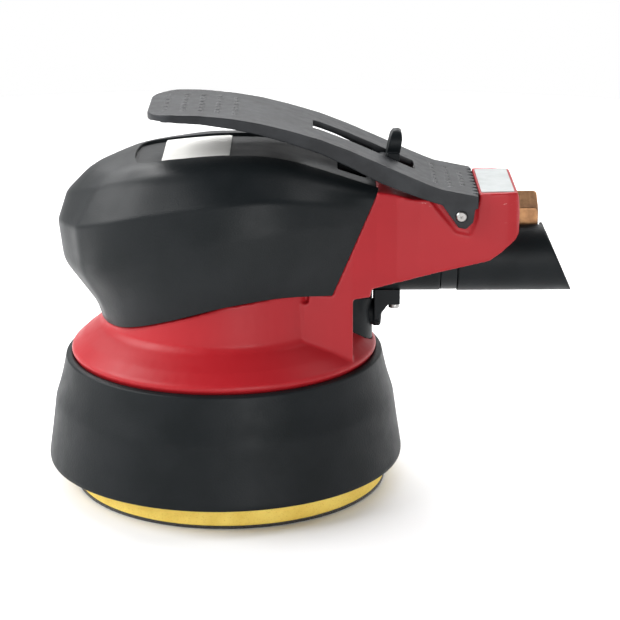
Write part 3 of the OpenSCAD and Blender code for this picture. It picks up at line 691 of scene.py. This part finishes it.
# The shroud's outline as (radius, height), and the rounding of each of its corners
SHROUD_PROFILE = [(59.8, 50.4), (59.8, 52.8), (61.2, 53.3), (63.2, 52.7), (63.5, 51.3), (65.2, 43.3),
                  (67.9, 34.8), (69.6, 22), (71.2, 11.5), (70.9, 9.8), (68.1, 9.8), (66.8, 22), (65.1, 34.8),
                  (62.4, 43.3), (60.4, 48.8), (57.6, 48.8), (57.6, 50.4)]
SHROUD_ROUNDING = [0.2, 0.8, 0.9, 0.8, 0.9, 6, 1.6, 7, 0.9, 0.7, 0.7, 4, 4, 2, 0.3, 0.3, 0.3]


def build_shroud():
    """The bell-shaped shroud round the pad."""
    bm = lathe(rounded(SHROUD_PROFILE, SHROUD_ROUNDING, 6), 240)
    return stand_for(mesh_object("shroud_bell", bm, LOOKS["black_plastic"]), "dust_shroud")


# Points of a disc nearer the axis than this, in mm, stay where they are
RIM_START = 40
# How many waves run round a rim, and how much they lean, in radians per metre of height
WAVES, WAVE_LEAN = 9, 900
# Edges of the discs that bend more than this stay sharp
DISC_SHARP = math.radians(50)


def wobble(piece, centre, depth, lumps, seed):
    """Moves the points of a soft disc's rim in a little, in several sine waves round it."""
    rng = np.random.default_rng(seed)
    waves = [(int(n), rng.uniform(0, 2 * math.pi), rng.uniform(0.4, 1)) for n in rng.integers(*lumps, WAVES)]
    for vertex in piece.data.vertices:
        x, y = vertex.co.x / MM - centre.x, vertex.co.y / MM - centre.y
        r, angle = math.hypot(x, y), math.atan2(y, x)
        if r < RIM_START:
            continue
        lean = vertex.co.z * WAVE_LEAN
        swing = sum(size * math.sin(n * angle + start + lean) for n, start, size in waves) / len(waves)
        grow = 1 - depth * (0.5 + 0.5 * swing) / r
        vertex.co.x = (centre.x + x * grow) * MM
        vertex.co.y = (centre.y + y * grow) * MM


def soft_disc(name, node, side, radii, steps, segments, centre):
    """A disc turned from the rounded outline side, round the pad's middle."""
    bm = lathe(rounded(side, radii, steps, False), segments, False)
    disc = mesh_object(name, bm, LOOKS[RECORD_SLOT[node]])
    disc.data.transform(Matrix.Translation((centre.x * MM, centre.y * MM, 0)))
    return disc


def build_pad():
    """The foam of the pad and the hook face under it, both with a slightly uneven rim."""
    low, high = low_high("pad_foam")
    centre, radius = (low + high) / 2, (high.x - low.x) / 2
    base, top = low.z, high.z
    foam_side = [(0, base), (radius - 0.5, base), (radius - 0.1, base + 0.7), (radius - 0.05, base + 3.5),
                 (radius - 0.5, base + 7.5), (radius - 1.5, top - 0.8), (radius - 2.1, top), (0, top)]
    foam = soft_disc("foam_disc", "pad_foam", foam_side, [0, 0.3, 0.4, 2, 2, 0.6, 0.3, 0], 5, 360, centre)
    wobble(foam, centre, 0.35, (5, 90), 3)
    stand_for(foam, "pad_foam")
    foam.data.set_sharp_from_angle(angle=DISC_SHARP)

    low, high = low_high("pad_hook_face")
    radius = (high.x - low.x) / 2
    hook_side = [(0, 0.02), (radius - 0.5, 0.02), (radius, 0.25), (radius, high.z - 0.25),
                 (radius - 0.4, high.z - 0.02), (0, high.z - 0.02)]
    hook = soft_disc("hook_disc", "pad_hook_face", hook_side, [0, 0.2, 0.2, 0.2, 0.2, 0], 4, 720, centre)
    wobble(hook, centre, 0.3, (60, 340), 8)
    stand_for(hook, "pad_hook_face")
    hook.data.set_sharp_from_angle(angle=DISC_SHARP)


# ---------------------------------------------------------------- lever, latch and pin

def rounded_block(bm, place, size, softness):
    """Adds a block of that size whose edges are bevelled, set by a matrix in metres."""
    made = bmesh.ops.create_cube(bm, size=1, matrix=place @ Matrix.Diagonal((*(s * MM for s in size), 1)))
    edges = list({edge for vertex in made["verts"] for edge in vertex.link_edges})
    bmesh.ops.bevel(bm, geom=edges, offset=softness * MM, segments=2, affect="EDGES", profile=0.6)


def on_surface(top, x, y, sink):
    """A matrix at x, y on the surface, tilted with it, and sunk a little into it."""
    height, normal = top(x, y)
    flat = Vector((0, 1, 0)).cross(normal).normalized()
    turn = Matrix((flat, Vector((0, 1, 0)), normal)).transposed().to_4x4()
    return Matrix.Translation(Vector((x, y, height - sink)) * MM) @ turn


# Rows of short anti-slip ribs, where the hand rests and over the pivot: x, how many, and the length of each
LEVER_RIBS = [(-20.5, 5, 5.2), (-13.5, 7, 3.6), (-7, 6, 4.4), (-0.5, 7, 3.6), (6, 6, 4.4),
              (83, 6, 4.6), (88.5, 7, 3.8), (94, 5, 3.4)]
RIB_GAP, RIB_WIDTH, RIB_HEIGHT, RIB_SINK, RIB_SOFTNESS = 1.5, 1.5, 0.9, 0.45, 0.22
# Teeth along the lever's rear edge
TEETH, TOOTH_PITCH, TOOTH_SIZE, TOOTH_SOFTNESS = 9, 5.2, (2.4, 2.6, 2.2), 0.3
# How far in from the edge the height is read, and how far in and down the middle of a tooth is
TOOTH_READ, TOOTH_INSET = 1.2, 0.9


def build_lever():
    """The lever plate, with its ribs and teeth."""
    moulded("throttle_lever", "lever_plate", 0.36, 3, LEVER_LOOK)
    top = ray_down("throttle_lever")
    bm = bmesh.new()
    for x, count, length in LEVER_RIBS:
        for k in range(count):
            y = (k - (count - 1) / 2) * (length + RIB_GAP)
            rounded_block(bm, on_surface(top, x, y, RIB_SINK), (RIB_WIDTH, length, RIB_HEIGHT), RIB_SOFTNESS)
    _, high = low_high("throttle_lever")
    for k in range(TEETH):
        y = (k - (TEETH - 1) / 2) * TOOTH_PITCH
        height, _ = top(high.x - TOOTH_READ, y)
        place = Matrix.Translation(Vector((high.x - TOOTH_INSET, y, height - TOOTH_INSET)) * MM)
        rounded_block(bm, place, TOOTH_SIZE, TOOTH_SOFTNESS)
    add_to(mesh_object("lever_ribs", bm, LEVER_LOOK), "throttle_lever")


def build_pivot_pin():
    """The pivot pin, with chamfered ends and a small centre mark in each."""
    low, high = low_high("lever_pin")
    half, radius = (high.y - low.y) / 2, (high.x - low.x) / 2
    chamfer, mark = 0.35, 0.5
    side = [(0, -half + mark), (mark, -half + 0.02), (radius - chamfer, -half), (radius, -half + chamfer),
            (radius, half - chamfer), (radius - chamfer, half), (mark, half - 0.02), (0, half - mark)]
    pin = mesh_object("pivot_pin", lathe(side, 64, False), LOOKS["steel"])
    middle = (low + high) / 2 * MM
    pin.data.transform(Matrix.Translation(middle) @ Matrix.Rotation(math.pi / 2, 4, "X"))
    stand_for(pin, "lever_pin")
    pin.data.set_sharp_from_angle(angle=math.radians(35))


# ---------------------------------------------------------------- air inlet

# The thread's pitch and depth, how far in from the mouth it starts, and how much shorter than the bore it is
THREAD_PITCH, THREAD_DEPTH, THREAD_INSET, THREAD_MARGIN = 1.34, 0.55, 1.2, 2.5
# Half the width of the thread's foot, and how far that foot is sunk into the wall
THREAD_HALF_W, THREAD_SINK = 0.42, 0.1
# Points to a turn of the thread
THREAD_STEPS = 40


def build_inlet():
    """The brass inlet, with a real thread in its bore."""
    moulded("inlet_bushing", "inlet_fitting", 0.24, 1)
    mount = next(m for m in frame["record"]["mounts"] if m["name"] == "air_inlet")
    mouth = Vector(mount["pos_m"]) / MM
    bore, length = mount["dims"]["r_mm"], mount["dims"]["length_mm"]
    bm = bmesh.new()
    rings = []
    count = int((length - THREAD_MARGIN) / THREAD_PITCH * THREAD_STEPS)
    for k in range(count + 1):
        angle = 2 * math.pi * k / THREAD_STEPS
        x = mouth.x - THREAD_INSET - k * THREAD_PITCH / THREAD_STEPS
        ramp = min(1.0, k / THREAD_STEPS, (count - k) / THREAD_STEPS)
        profile = [(-THREAD_HALF_W, THREAD_SINK), (0, -THREAD_DEPTH * ramp), (THREAD_HALF_W, THREAD_SINK)]
        outward = Vector((0, math.cos(angle), math.sin(angle)))
        ring = [Vector((x + dx, mouth.y, mouth.z)) + (bore + dr) * outward for dx, dr in profile]
        rings.append([bm.verts.new(point * MM) for point in ring])
    for one, two in zip(rings, rings[1:]):
        for i in range(3):
            bm.faces.new((one[i], one[(i + 1) % 3], two[(i + 1) % 3], two[i]))
    bm.faces.new(rings[0])
    bm.faces.new(rings[-1][::-1])
    add_to(mesh_object("inlet_thread", bm, LOOKS["brass"], smooth=False), "inlet_bushing")


# ---------------------------------------------------------------- the scene

def finish_cad_nodes():
    """Every CAD node that stays gets the finish of its material slot."""
    for node, piece in frame["nodes"].items():
        piece.data.materials.clear()
        piece.data.materials.append(LOOKS[RECORD_SLOT[node]])


add_camera()
add_world()
add_floor(floor_paint())
add_softbox("key_left", (-0.78, -0.10, 0.60), (-0.03, 0, 0.10), (0.9, 0.6), 13)
add_softbox("front_right", (0.30, -0.98, 0.22), (0.02, 0, 0.08), (0.40, 0.40), 3.2)
add_softbox("back_strip", (0.0, 0.64, 0.74), (0.0, 0, 0.12), (1.4, 0.4), 13)
add_softbox("right_back", (0.70, 0.28, 0.70), (0.04, 0, 0.12), (0.45, 0.45), 4)

finish_cad_nodes()
build_grip()
moulded("housing", "housing_shell", 0.6, 4)
build_label("name_plate", "name_label", 1.2, 0.5, 0.15)
build_label("rear_plate", "rear_label", 0.8, 0.45, 0.12)
build_shroud()
build_pad()
build_lever()
moulded("safety_latch", "thumb_latch", 0.22, 3)
build_pivot_pin()
build_inlet()
for node, name, voxel_mm, passes in [
        ("riser_duct", "upright_duct", 0.4, 3), ("handle_duct", "under_duct", 0.5, 3),
        ("duct_sleeve", "sleeve_band", 0.3, 2), ("exhaust_nozzle", "nozzle", 0.4, 3),
        ("duct_bracket", "bracket", 0.28, 2), ("bracket_screws", "bracket_bolts", 0.2, 1),
        ("speed_regulator", "dial", 0.2, 2)]:
    moulded(node, name, voxel_mm, passes)
